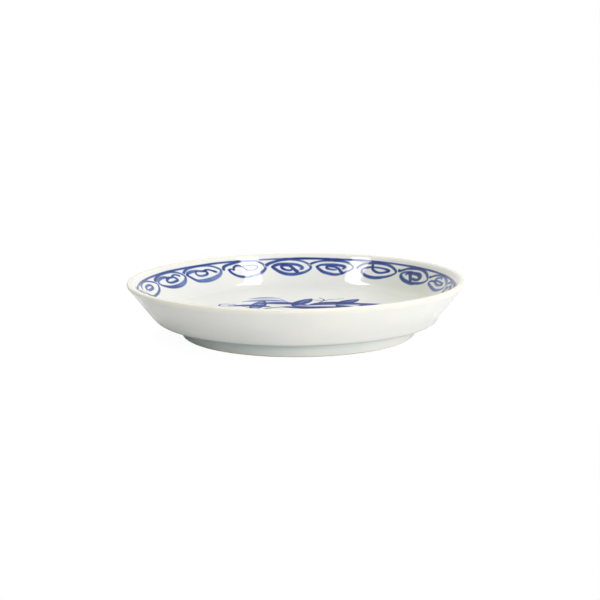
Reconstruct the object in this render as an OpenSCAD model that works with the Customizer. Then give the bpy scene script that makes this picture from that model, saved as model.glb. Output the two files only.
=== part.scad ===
// Small porcelain dish on a foot ring, with underglaze blue brushwork inside.
// Units are millimetres. Z is up, and the origin is the middle of the foot on the table.

/* [Dish] */
// Diameter over the lip, glaze included
dish_d = 100; // [90:1:130]
// Height from the table to the top of the lip, glaze included
dish_h = 16.4; // [14.5:0.05:24]
// Slope of the outside wall above the horizontal, in degrees
wall_angle = 51.4; // [46:0.1:62]
// Width of the clay in the wall, level with the floor of the well
wall_w = 3.3; // [2.6:0.05:4.5]
// Width of the clay across the top of the lip, before its edges are rounded
lip_w = 1.7; // [1.5:0.05:2.6]
// Rounding of the lip's outer edge
lip_outer_r = 0.35; // [0.2:0.05:0.5]
// Rounding of the lip's inner edge
lip_inner_r = 1.1; // [0.3:0.05:1.4]

/* [Well] */
// Thickness of the clay in the floor of the well
floor_t = 2.5; // [1.8:0.1:4.5]
// Radius of the hollow curve between the floor and the wall
well_r = 7; // [3:0.5:10]
// Radius of the shoulder where the wall turns in under the dish
shoulder_r = 2.7; // [1:0.1:6]
// Rise of the underside from the foot ring out to the shoulder
under_rise = 0.55; // [0.3:0.05:2]

/* [Foot] */
// Distance that the foot ring stands in from the shoulder
foot_inset = 5.5; // [4:0.05:12]
// Height of the foot ring
foot_h = 4.3; // [2.6:0.1:5.5]
// Width of the foot ring where it stands on the table
foot_w = 2.6; // [1.8:0.1:4]
// How much further out the foot ring reaches at its top
foot_flare = 1.75; // [0.3:0.05:2.5]
// How much further in the foot ring reaches at its top
foot_inner_flare = 0.9; // [0.3:0.1:2]
// Rounding of the two edges that the foot ring stands on
foot_edge_r = 0.45; // [0.2:0.05:0.6]

/* [Glaze] */
// Thickness of the clear glaze
glaze_t = 0.25; // [0.15:0.01:0.4]
// Least radius of the glaze where it gathers in a corner
glaze_pool_r = 0.8; // [0.4:0.1:1.5]
// Height of the band round the lip where the glaze runs thin and cream, on the outside
lip_band_out = 1.2; // [0.9:0.05:2]
// Height of the same band on the inside
lip_band_in = 0.55; // [0.5:0.05:1.5]
// Height of bare clay left at the bottom of the foot ring
bare_h = 0.5; // [0.45:0.05:1]

/* [Border] */
// Distance down the inside wall from the lip's band to the blue line
line_gap = 0.65; // [0.2:0.05:1]
// Width of the blue line
line_w = 0.7; // [0.4:0.05:1]
// Number of scrolls in the border
scroll_count = 18; // [10:1:20]
// Width of a scroll, to the middle of its stroke
scroll_w = 12.4; // [9:0.1:13.6]
// Height of a scroll, to the middle of its stroke
scroll_h = 5.4; // [4.8:0.1:6.4]
// Turns that a scroll's stroke makes
scroll_turns = 1.8; // [1.5:0.05:1.9]
// Size of the scroll's inner end, as a share of its outer turn
scroll_end = 0.28; // [0.24:0.01:0.4]
// Width of the brush stroke in a scroll
stroke_w = 0.7; // [0.4:0.05:0.85]
// How much the stroke swells under the scroll, as a share of its width
stroke_swell = 0.5; // [0:0.05:0.6]

/* [Sprig] */
// Distance between the two ends of the sprig's stem
stem_l = 38; // [30:1:44]
// Height of the stem's arch
stem_rise = 5; // [2:0.5:8]
// Width of the stem's stroke
stem_w = 0.7; // [0.4:0.05:1]
// Pairs of leaves along the stem
leaf_pairs = 3; // [1:1:4]
// Length of the leaves at the foot of the stem
leaf_l = 15; // [11:0.5:18]
// How much shorter each pair of leaves is than the pair before it
leaf_step = 2; // [0:0.1:2.5]
// Width of a leaf across its middle
leaf_w = 4.4; // [2.5:0.1:5]
// Angle between the stem and the near edge of a leaf, in degrees
leaf_splay = 8; // [4:1:20]
// Clear gap between the stem and a leaf
leaf_gap = 0.3; // [0.1:0.05:1]
// Angle that the sprig is turned in the well, in degrees
sprig_turn = 18; // [0:1:360]

/* [Hidden] */
$fn = 96;

// Degrees of arc between two points of a rounded corner
arc_step = 6;
// How far a brush stroke's cutter reaches either side of the glaze
cutter_reach = 1.5;
// Points along the stroke of one scroll, and along the stem
scroll_steps = 32;
stem_steps = 8;
// Where a scroll's stroke starts, in degrees round from its right-hand side
scroll_start = 165;
// How late a scroll draws in: 1 is a steady spiral
scroll_curl = 1.3;

clay_r = dish_d / 2 - glaze_t;
clay_h = dish_h - glaze_t;
floor_z = foot_h + floor_t;

// Corners of the clay's section: [radius, height, rounding]
lip_outer = [clay_r - lip_outer_r + lip_outer_r / tan(wall_angle / 2), clay_h, lip_outer_r];
lip_inner = [lip_outer.x - lip_w, clay_h, lip_inner_r];
well_edge = corner(wall_at(floor_z) - [wall_w, 0], well_r);
well_middle = [0, floor_z, 0];
shoulder = corner(wall_at(foot_h + under_rise), shoulder_r);
foot_out_top = [shoulder.x - foot_inset, foot_h, 0];
foot_out_low = [foot_out_top.x - foot_flare, 0, foot_edge_r];
foot_in_low = [foot_out_low.x - foot_w, 0, foot_edge_r];
foot_in_top = [foot_in_low.x - foot_inner_flare, foot_h, 0];
base_middle = [0, foot_h, 0];

// Where one coat of glaze stops and the next begins
in_wall = unit(flat(lip_inner) - flat(well_edge));
in_wall_angle = atan2(in_wall.y, in_wall.x);
in_band = corner(at_height(well_edge, lip_inner, clay_h - lip_band_in), 0);
out_band = corner(at_height(shoulder, lip_outer, clay_h - lip_band_out), 0);
line_top = corner(down_wall(line_gap), 0);
line_low = corner(down_wall(line_gap + line_w), 0);
out_bare = corner(at_height(foot_out_low, foot_out_top, bare_h), 0);
in_bare = corner(at_height(foot_in_low, foot_in_top, bare_h), 0);

function flat(p) = [p.x, p.y];
function corner(p, rounding) = [p.x, p.y, rounding];
function unit(v) = v / norm(v);
function left(v) = [-v.y, v.x];
function heading(angle) = [cos(angle), sin(angle)];
function turned(v, angle) = v.x * heading(angle) + v.y * left(heading(angle));
function meet(p, u, q, v) = p + u * cross(q - p, v) / cross(u, v);
function at_height(a, b, z) = flat(a) + (flat(b) - flat(a)) * (z - a.y) / (b.y - a.y);
function wall_at(z) = flat(lip_outer) - [1 / tan(wall_angle), 1] * (clay_h - z);
function down_wall(distance) = flat(in_band) - in_wall * distance;
function reverse(list) = [for (i = [len(list) - 1:-1:0]) list[i]];

// The direction of a path as it comes to its point i, and as it goes on
function before(path, i) = unit(flat(path[i]) - flat(path[i - 1]));
function after(path, i) = unit(flat(path[i + 1]) - flat(path[i]));

// A path with its corners rounded. Clay is always on the right of it
function rounded(path) = [
    for (i = [0:len(path) - 1])
        each path[i][2] == 0
            ? [flat(path[i])]
            : arc(flat(path[i]), before(path, i), after(path, i), path[i][2])
];

function arc(p, u, v, r) =
    let (turn = atan2(cross(u, v), u * v),
         start = p - u * r * abs(tan(turn / 2)),
         spoke = left(u) * sign(turn) * -r,
         steps = ceil(abs(turn) / arc_step))
    [for (k = [0:steps]) start - spoke + turned(spoke, turn * k / steps)];

// The top of a coat of glaze over a path of clay. It gathers in the hollow corners
function glazed(path) = [
    for (i = [0:len(path) - 1])
        let (first = i == 0,
             last = i == len(path) - 1,
             u = first ? after(path, i) : before(path, i),
             v = last ? u : after(path, i),
             p = flat(path[i]) + left(u) * glaze_t,
             q = flat(path[i]) + left(v) * glaze_t)
        first || last
            ? corner(p, 0)
            : corner(meet(p, u, q, v),
                     cross(u, v) > 0 ? max(glaze_pool_r, path[i][2] - glaze_t) : path[i][2] + glaze_t)
];

module coat(path) {
    rotate_extrude()
        polygon(concat(rounded(glazed(path)), reverse(rounded(path))));
}

// Clay

module dish_body() {
    section = [well_middle, well_edge, lip_inner, lip_outer, shoulder, foot_out_top, base_middle];
    color("whitesmoke")
        rotate_extrude()
            polygon(rounded(section));
}

module foot_ring() {
    section = [foot_out_top, foot_out_low, foot_in_low, foot_in_top];
    color("linen")
        rotate_extrude()
            polygon(rounded(section));
}

// Glaze

module lip_glaze() {
    color("ivory")
        coat([in_band, lip_inner, lip_outer, out_band]);
}

module outside_glaze() {
    color("gainsboro")
        coat([out_band, shoulder, foot_out_top, out_bare]);
}

module base_glaze() {
    color("gainsboro")
        coat([in_bare, foot_in_top, base_middle]);
}

module inside_glaze() {
    color("white") {
        coat([line_top, in_band]);
        difference() {
            inside_coat();
            scroll_cutters();
            sprig_cutter();
        }
    }
}

module inside_coat() {
    coat([well_middle, well_edge, line_low]);
}

// Blue brushwork: glaze that is stained through the thickness of its coat

module rim_line() {
    color("midnightblue")
        coat([line_low, line_top]);
}

module scroll_border() {
    color("royalblue")
        intersection() {
            inside_coat();
            scroll_cutters();
        }
}

module leaf_sprig() {
    color("royalblue")
        intersection() {
            inside_coat();
            sprig_cutter();
        }
}

// Puts a flat drawing on the inside wall, upright as seen from the middle of the dish
module on_wall(angle, distance) {
    p = down_wall(distance);
    rotate([0, 0, angle])
        translate([p.x, 0, p.y])
            rotate([0, -in_wall_angle, 0])
                rotate([0, 0, -90])
                    translate([0, 0, -cutter_reach])
                        linear_extrude(2 * cutter_reach)
                            children();
}

// A scroll's stroke runs over the top from the left, under the scroll and in to its middle.
// Its direction turns steadily from t = 0 to t = 1
function scroll_heading(t) = scroll_start - 360 * scroll_turns * t;

function scroll_point(t) =
    let (facing = scroll_heading(t),
         turn = atan2(scroll_h * sin(facing), scroll_w * cos(facing)),
         size = 1 - (1 - scroll_end) * pow(max(t, 0), scroll_curl))
    [scroll_w / 2 * cos(turn), scroll_h / 2 * sin(turn)] * size;

function scroll_width(t) = stroke_w * (1 + stroke_swell * max(0, -sin(scroll_heading(t))) * (1 - t));

function scroll_edge(t, side) =
    let (step = 0.001, ahead = unit(scroll_point(t + step) - scroll_point(t - step)))
    scroll_point(t) + left(ahead) * side * scroll_width(t) / 2;

module scroll() {
    ts = [for (k = [0:scroll_steps]) k / scroll_steps];
    polygon(concat([for (t = ts) scroll_edge(t, 1)], reverse([for (t = ts) scroll_edge(t, -1)])));
}

module scroll_cutters() {
    for (i = [0:scroll_count - 1])
        on_wall(90 + i * 360 / scroll_count, line_gap + line_w + scroll_h / 2)
            scroll();
}

// The stem is an arc, and leaves stand along it in pairs
stem_r = (stem_l * stem_l / 4 + stem_rise * stem_rise) / (2 * stem_rise);
stem_half = asin(stem_l / 2 / stem_r);

module on_stem(t) {
    translate([0, stem_rise - stem_r])
        rotate(stem_half * (1 - 2 * t))
            translate([0, stem_r])
                children();
}

module stem() {
    turns = [for (k = [0:stem_steps]) 90 + stem_half * (1 - 2 * k / stem_steps)];
    translate([0, stem_rise - stem_r])
        polygon(concat([for (a = turns) (stem_r + stem_w / 2) * heading(a)],
                       reverse([for (a = turns) (stem_r - stem_w / 2) * heading(a)])));
}

module leaf(length) {
    r = (length * length + leaf_w * leaf_w) / (4 * leaf_w);
    intersection() {
        translate([length / 2, r - leaf_w / 2]) circle(r);
        translate([length / 2, leaf_w / 2 - r]) circle(r);
    }
}

// How far the middle of a leaf leans from the stem: half the angle of its point, and the splay
function leaf_lean(length) = leaf_splay + 2 * atan(leaf_w / length);

module leaf_pair(length) {
    lean = leaf_lean(length);
    for (side = [-1, 1])
        rotate(side * lean)
            translate([leaf_gap + stem_w / 2 / sin(lean), 0])
                leaf(length);
}

module sprig() {
    stem();
    for (i = [0:leaf_pairs - 1])
        on_stem((i + 0.5) / leaf_pairs)
            leaf_pair(leaf_l - i * leaf_step);
    on_stem(1)
        translate([leaf_gap, 0])
            leaf(leaf_l - leaf_pairs * leaf_step);
}

module sprig_cutter() {
    translate([0, 0, floor_z - cutter_reach])
        linear_extrude(2 * cutter_reach)
            rotate(sprig_turn)
                sprig();
}

dish_body();
foot_ring();
inside_glaze();
outside_glaze();
lip_glaze();
base_glaze();
rim_line();
scroll_border();
leaf_sprig();
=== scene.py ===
"""A glazed porcelain sauce dish with blue brushwork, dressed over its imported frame."""
import math

import bpy
import numpy as np
from mathutils import Matrix, Vector
from mathutils.geometry import delaunay_2d_cdt


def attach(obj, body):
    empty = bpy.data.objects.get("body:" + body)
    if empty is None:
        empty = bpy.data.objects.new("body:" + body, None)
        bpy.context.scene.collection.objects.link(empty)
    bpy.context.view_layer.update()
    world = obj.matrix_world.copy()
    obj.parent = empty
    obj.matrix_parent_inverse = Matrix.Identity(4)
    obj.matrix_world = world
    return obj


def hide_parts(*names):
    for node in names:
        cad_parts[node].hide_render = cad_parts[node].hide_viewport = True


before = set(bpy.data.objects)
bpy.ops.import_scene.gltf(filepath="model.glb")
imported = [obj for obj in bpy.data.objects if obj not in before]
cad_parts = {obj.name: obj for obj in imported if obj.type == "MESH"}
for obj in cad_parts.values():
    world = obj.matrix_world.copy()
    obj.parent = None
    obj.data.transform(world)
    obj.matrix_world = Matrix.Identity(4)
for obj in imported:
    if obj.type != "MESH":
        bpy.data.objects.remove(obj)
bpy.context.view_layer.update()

MM = 0.001

# Section of the dish in millimetres and degrees, as in its source
DISH_D = 100
DISH_H = 16.4
WALL_ANGLE = 51.4
WALL_W = 3.3
LIP_W = 1.7
LIP_OUTER_R = 0.35
LIP_INNER_R = 1.1
FLOOR_T = 2.5
WELL_R = 7
SHOULDER_R = 2.7
UNDER_RISE = 0.55
FOOT_INSET = 5.5
FOOT_H = 4.3
FOOT_W = 2.6
FOOT_FLARE = 1.75
FOOT_INNER_FLARE = 0.9
FOOT_EDGE_R = 0.45
GLAZE_T = 0.25
POOL_R = 0.8
LIP_BAND_OUT = 1.2
LIP_BAND_IN = 0.55
BARE_H = 0.5

# Brushwork in millimetres and degrees, as in its source
LINE_GAP = 0.65
LINE_W = 0.7
SCROLL_H = 5.4
STEM_L = 38
STEM_RISE = 5
STEM_W = 0.7
LEAF_PAIRS = 3
LEAF_L = 15
LEAF_STEP = 2
LEAF_W = 4.4
LEAF_SPLAY = 8
LEAF_GAP = 0.3
SPRIG_TURN = 18

# How much lower than in the source the seam over the foot and the painted border lie
SEAM_DROP = 0.4
PAINT_SAG = 0.32

# Plates of paint: how far they stand over the glaze, and reach into it
PAINT_LIFT = 0.012
PAINT_SINK = 0.12

# Fineness of the meshes
SEGMENTS = 288
ARC_STEP = 4
LINE_STEP = 1.2
BRUSH_STEP = 0.22
LINE_STATIONS = 900
LANES = (-1.0, -0.6, -0.25, 0.0, 0.25, 0.6, 1.0)
SHARP_ANGLE = 38

# A stroke is solid inside SOFT_IN of its half width, and gone at SOFT_OUT. A broad one fades within SOFT_W
# of its edge.
SOFT_IN = 0.55
SOFT_OUT = 1.5
SOFT_W = 0.25

# The least half width and strength of a stroke, and the blue that is too faint to keep
LEAST = 0.04
TOO_FAINT = 1e-5

# A sheet of paint reaches just past the place where its stroke is gone
JUST_PAST = 1.02

# How far to each side of its middle a scroll may reach
SCROLL_REACH = 10.0


# Section

def unit(v):
    return v / np.linalg.norm(v)


def left(v):
    return np.array([-v[1], v[0]])


def cross(u, v):
    return u[0] * v[1] - u[1] * v[0]


def at_height(a, b, z):
    a, b = np.array(a[:2]), np.array(b[:2])
    return a + (b - a) * (z - a[1]) / (b[1] - a[1])


def corner(point, rounding=0.0):
    return (float(point[0]), float(point[1]), rounding)


def arc(p, u, v, r):
    """Points of the arc of radius r that rounds the corner p between directions u and v."""
    turn = math.atan2(cross(u, v), float(u @ v))
    centre = p - u * r * abs(math.tan(turn / 2)) + left(u) * math.copysign(r, turn)
    spoke = -left(u) * math.copysign(r, turn)
    steps = math.ceil(math.degrees(abs(turn)) / ARC_STEP)
    angles = [turn * k / steps for k in range(steps + 1)]
    return [centre + spoke * math.cos(a) + left(spoke) * math.sin(a) for a in angles]


def rounded(path):
    """The path with its corners rounded. Clay is always on the right of it."""
    flat = [np.array(c[:2]) for c in path]
    points = []
    for i, (p, c) in enumerate(zip(flat, path)):
        if c[2] == 0:
            points.append(p)
        else:
            points += arc(p, unit(p - flat[i - 1]), unit(flat[i + 1] - p), c[2])
    return points


def glazed(path):
    """The top of a coat of glaze over a path of clay. It gathers in the hollow corners."""
    flat = [np.array(c[:2]) for c in path]
    ways = [unit(b - a) for a, b in zip(flat, flat[1:])]
    top = [corner(flat[0] + left(ways[0]) * GLAZE_T)]
    for p, c, u, v in zip(flat[1:-1], path[1:-1], ways, ways[1:]):
        start, end = p + left(u) * GLAZE_T, p + left(v) * GLAZE_T
        meet = start + u * cross(end - start, v) / cross(u, v)
        rounding = max(POOL_R, c[2] - GLAZE_T) if cross(u, v) > 0 else c[2] + GLAZE_T
        top.append(corner(meet, rounding))
    top.append(corner(flat[-1] + left(ways[-1]) * GLAZE_T))
    return top


def refined(points):
    """The polyline with no step longer than LINE_STEP."""
    fine = [points[0]]
    for a, b in zip(points, points[1:]):
        steps = max(1, math.ceil(np.linalg.norm(b - a) / LINE_STEP))
        fine += [a + (b - a) * k / steps for k in range(1, steps + 1)]
    return fine


clay_r = DISH_D / 2 - GLAZE_T
clay_h = DISH_H - GLAZE_T
floor_z = FOOT_H + FLOOR_T
wall_run = 1 / math.tan(math.radians(WALL_ANGLE))
lip_reach = LIP_OUTER_R / math.tan(math.radians(WALL_ANGLE / 2))
lip_outer = (clay_r - LIP_OUTER_R + lip_reach, clay_h, LIP_OUTER_R)
lip_inner = (lip_outer[0] - LIP_W, clay_h, LIP_INNER_R)
well_edge = (lip_outer[0] - wall_run * (clay_h - floor_z) - WALL_W, floor_z, WELL_R)
well_middle = (0.0, floor_z, 0.0)
shoulder_z = FOOT_H + UNDER_RISE
shoulder = (lip_outer[0] - wall_run * (clay_h - shoulder_z), shoulder_z, SHOULDER_R)
foot_out_top = (shoulder[0] - FOOT_INSET, FOOT_H - SEAM_DROP, 0.0)
foot_out_low = (foot_out_top[0] - FOOT_FLARE, 0.0, FOOT_EDGE_R)
foot_in_low = (foot_out_low[0] - FOOT_W, 0.0, FOOT_EDGE_R)
foot_in_top = (foot_in_low[0] - FOOT_INNER_FLARE, FOOT_H, 0.0)
base_middle = (0.0, FOOT_H, 0.0)
in_band = corner(at_height(well_edge, lip_inner, clay_h - LIP_BAND_IN))
out_band = corner(at_height(shoulder, lip_outer, clay_h - LIP_BAND_OUT))
out_bare = corner(at_height(foot_out_low, foot_out_top, BARE_H))
in_bare = corner(at_height(foot_in_low, foot_in_top, BARE_H))

# The glaze's surface inside the dish, from the lip's band down to the middle of the well
inside_path = [well_middle, well_edge, in_band]
inside_line = np.array(refined(rounded(glazed(inside_path)))[::-1])
inside_run = np.concatenate([[0], np.cumsum(np.linalg.norm(np.diff(inside_line, axis=0), axis=1))])


# Hand-made unevenness, which every piece shares

RIM_TILT = 0.0042
FOOT_SHIFT = 0.6
FOOT_SHIFT_TOP = 6.5
FOOT_SHIFT_FADE = 3
WOBBLE = ((2, -0.27, 0.0), (3, 0.04, 2.1), (5, 0.03, 4.0))


def smooth(low, high, value):
    t = np.clip((value - low) / (high - low), 0, 1)
    return t * t * (3 - 2 * t)


def shaped(points):
    """Points of the true turned form, in millimetres, as the wheel and the kiln left them."""
    x, y, z = points[..., 0], points[..., 1], points[..., 2]
    turn = np.arctan2(y, x)
    height = np.clip(z / DISH_H, 0, 1)
    swell = sum(size * np.cos(n * turn + phase) for n, size, phase in WOBBLE)
    spread = 1 + height ** 2 * swell / (DISH_D / 2)
    across = x * spread + FOOT_SHIFT * smooth(FOOT_SHIFT_TOP, FOOT_SHIFT_TOP - FOOT_SHIFT_FADE, z)
    return np.stack([across, y * spread, z + height * RIM_TILT * across], axis=-1)


# Meshes

def made(name, verts, faces):
    """A mesh object of these points, in millimetres, and faces."""
    mesh = bpy.data.meshes.new(name)
    mesh.from_pydata((np.asarray(verts) * MM).tolist(), [], faces)
    mesh.validate()
    mesh.shade_smooth()
    piece = bpy.data.objects.new(name, mesh)
    bpy.context.scene.collection.objects.link(piece)
    return piece


def lathe(name, outline):
    """A closed solid turned from a loop of [radius, height] points, right side out."""
    rings, verts = [], []
    turns = np.arange(SEGMENTS) * 2 * math.pi / SEGMENTS
    for r, z in outline:
        first = len(verts)
        if r < 1e-6:
            verts.append([0.0, 0.0, z])
            rings.append([first] * SEGMENTS)
        else:
            verts += [[r * math.cos(a), r * math.sin(a), z] for a in turns]
            rings.append(list(range(first, first + SEGMENTS)))
    faces = []
    for low, high in zip(rings, rings[1:] + rings[:1]):
        for k in range(SEGMENTS):
            n = (k + 1) % SEGMENTS
            face = list(dict.fromkeys([low[k], high[k], high[n], low[n]]))
            if len(face) > 2:
                faces.append(face)
    piece = made(name, shaped(np.array(verts)), faces)
    piece.data.set_sharp_from_angle(angle=math.radians(SHARP_ANGLE))
    return piece


def coat(name, path):
    return lathe(name, refined(rounded(glazed(path))) + rounded(path)[::-1])


# Brush strokes: rows of (x, y, half width, strength)

def drawn(points):
    """A smooth stroke through given points."""
    rows = np.array(points, dtype=float)
    rows = np.vstack([rows[0], rows, rows[-1]])
    fine = []
    for a, b, c, d in zip(rows, rows[1:], rows[2:], rows[3:]):
        steps = max(2, math.ceil(np.linalg.norm((c - b)[:2]) / BRUSH_STEP))
        t = (np.arange(steps) / steps)[:, None]
        fine.append(0.5 * (2 * b + (c - a) * t + (2 * a - 5 * b + 4 * c - d) * t ** 2
                           + (3 * b - a - 3 * c + d) * t ** 3))
    fine = np.vstack(fine + [rows[-2][None, :]])
    fine[:, 2:] = np.maximum(fine[:, 2:], LEAST)
    return fine


def soft_edge(half):
    """How far from its middle a stroke begins to fade, and how far off it is gone."""
    return np.maximum(SOFT_IN * half, half - SOFT_W), np.minimum(SOFT_OUT * half, half + SOFT_W)


def strength(points, strokes):
    """How much blue the strokes leave at each point, from 0 to 1. More of it gathers near their edges."""
    clear = np.ones(len(points))
    for stroke in strokes:
        margin = SOFT_OUT * stroke[:, 2].max()
        low, high = stroke[:, :2].min(axis=0) - margin, stroke[:, :2].max(axis=0) + margin
        close = np.flatnonzero(((points > low) & (points < high)).all(axis=1))
        start, along = stroke[:-1, :2], np.diff(stroke[:, :2], axis=0)
        length = np.maximum((along ** 2).sum(axis=1), 1e-12)
        away = points[close, None, :] - start[None]
        t = np.clip((away * along[None]).sum(axis=2) / length, 0, 1)
        gap = np.linalg.norm(away - t[..., None] * along[None], axis=2)
        half = stroke[:-1, 2] + t * np.diff(stroke[:, 2])
        dark = stroke[:-1, 3] + t * np.diff(stroke[:, 3])
        reach = gap / half
        near = reach.argmin(axis=1)
        pick = np.arange(len(close))
        edge = reach[pick, near]
        pooled = 0.86 + 0.2 * smooth(0.3, 0.8, edge)
        solid, gone = soft_edge(half[pick, near])
        left_there = 1 - smooth(solid, gone, gap[pick, near])
        clear[close] *= 1 - np.clip(dark[pick, near] * pooled, 0, 1) * left_there
    return 1 - clear


def ribbon(stroke):
    """The points across a stroke, lane by lane, and the loop of its outer edge."""
    way = np.gradient(stroke[:, :2], axis=0)
    way /= np.maximum(np.linalg.norm(way, axis=1), 1e-9)[:, None]
    across = np.stack([-way[:, 1], way[:, 0]], axis=1)
    middle, half = stroke[:, :2], stroke[:, 2:3]
    solid, gone = soft_edge(half)
    inner = [middle + across * offset * sign for offset in (half, solid, solid / 2) for sign in (-1, 1)]
    side = across * gone * JUST_PAST
    ahead = way * gone * JUST_PAST
    fan = np.radians(np.arange(-60, 61, 30))[:, None]
    tip = middle[-1] + ahead[-1] * np.cos(fan) - side[-1] * np.sin(fan)
    tail = middle[0] - ahead[0] * np.cos(fan) + side[0] * np.sin(fan)
    loop = np.vstack([middle + side, tip, (middle - side)[::-1], tail])
    return np.vstack(inner + [middle]), loop


def painted(strokes, fences=()):
    """A flat sheet of triangles under the strokes, cut along the fences."""
    points, edges = [], []
    for stroke in strokes:
        inner, loop = ribbon(stroke)
        first = len(points)
        points += list(loop)
        edges += [(first + k, first + (k + 1) % len(loop)) for k in range(len(loop))]
        points += list(inner)
    for fence in fences:
        first = len(points)
        points += list(fence)
        edges += [(first + k, first + k + 1) for k in range(len(fence) - 1)]
    flat = delaunay_2d_cdt([Vector(p) for p in points], edges, [], 0, 1e-4)
    verts = np.array([list(v) for v in flat[0]])
    faces = np.array([list(f) for f in flat[2]])
    inside = strength(verts[faces].mean(axis=1), strokes) > TOO_FAINT
    return verts, faces[inside]


def plate(verts, faces, place):
    """A sheet of triangles laid on the dish as a closed plate: the rows used, points, normals and faces."""
    used, faces = np.unique(faces, return_inverse=True)
    faces = faces.reshape(-1, 3)
    flat = verts[used]
    step = 0.02
    spot = place(flat)
    over = place(flat + [step, 0]) - spot
    up = place(flat + [0, step]) - spot
    normal = np.cross(over, up)
    normal /= np.linalg.norm(normal, axis=1)[:, None]
    normal *= np.sign(normal[:, 2:3])
    corners = spot[faces]
    facing = np.cross(corners[:, 1] - corners[:, 0], corners[:, 2] - corners[:, 0])
    flipped = (facing * normal[faces[:, 0]]).sum(axis=1) < 0
    faces[flipped] = faces[flipped][:, ::-1]
    count = len(flat)
    sides = {(a, b) for f in faces.tolist() for a, b in zip(f, f[1:] + f[:1])}
    walls = [[b, a, a + count, b + count] for a, b in sides if (b, a) not in sides]
    walls.sort()
    solid = faces.tolist() + (faces[:, ::-1] + count).tolist() + walls
    points = np.vstack([spot + normal * PAINT_LIFT, spot - normal * PAINT_SINK])
    return used, points, np.vstack([normal, -normal]), solid


def brushwork(name, plates):
    """One piece of many plates: (points, normals, faces, blue at each point)."""
    points, normals, faces, blue = [], [], [], []
    first = 0
    for spots, ways, solid, shade in plates:
        points.append(spots)
        normals.append(ways)
        blue.append(shade)
        faces += [[first + k for k in face] for face in solid]
        first += len(spots)
    piece = made(name, np.vstack(points), faces)
    shades = piece.data.attributes.new("cobalt", "FLOAT", "POINT")
    shades.data.foreach_set("value", np.concatenate(blue))
    piece.data.normals_split_custom_set_from_vertices(np.vstack(normals).tolist())
    return piece


# The blue line and the scrolls, on the inside wall

line_middle = LINE_GAP + LINE_W / 2 + PAINT_SAG
scroll_drop = LINE_GAP + LINE_W + SCROLL_H / 2 + PAINT_SAG


def on_inside(turn, drop):
    """The point of the inside glaze at an angle, and a distance down from the lip's band."""
    r = np.interp(drop, inside_run, inside_line[:, 0])
    z = np.interp(drop, inside_run, inside_line[:, 1])
    return shaped(np.stack([r * np.cos(turn), r * np.sin(turn), z], axis=-1))


# Where the painter's line runs darker or paler: degrees right of the far side, reach, and how much
LINE_SHADES = (
    (-50, 22, 0.06), (-14, 9, -0.22), (8, 9, 0.30),
    (75, 16, -0.06), (140, 25, -0.15), (215, 20, 0.15),
)


def line_shape(turn):
    """The hand-drawn line at an angle: its middle, half width and strength."""
    degrees = 90 - np.degrees(turn)
    change = 0
    for middle, reach, amount in LINE_SHADES:
        away = (degrees - middle + 180) % 360 - 180
        change = change + amount * np.exp(-(away / reach) ** 2)
    middle = line_middle - 0.17 * np.cos(2 * np.radians(degrees - 5)) + 0.03 * np.sin(11 * turn)
    half = LINE_W / 2 * (0.96 + 0.5 * change + 0.07 * np.sin(13 * turn) + 0.05 * np.sin(29 * turn + 1))
    dark = 0.74 + change + 0.05 * np.sin(17 * turn + 1.3)
    return middle, half, dark


def line_strength(turn, drop):
    middle, half, dark = line_shape(turn)
    edge = np.abs(drop - middle) / half
    return np.clip(dark, 0, 1) * (1 - smooth(SOFT_IN, SOFT_OUT, edge))


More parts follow.
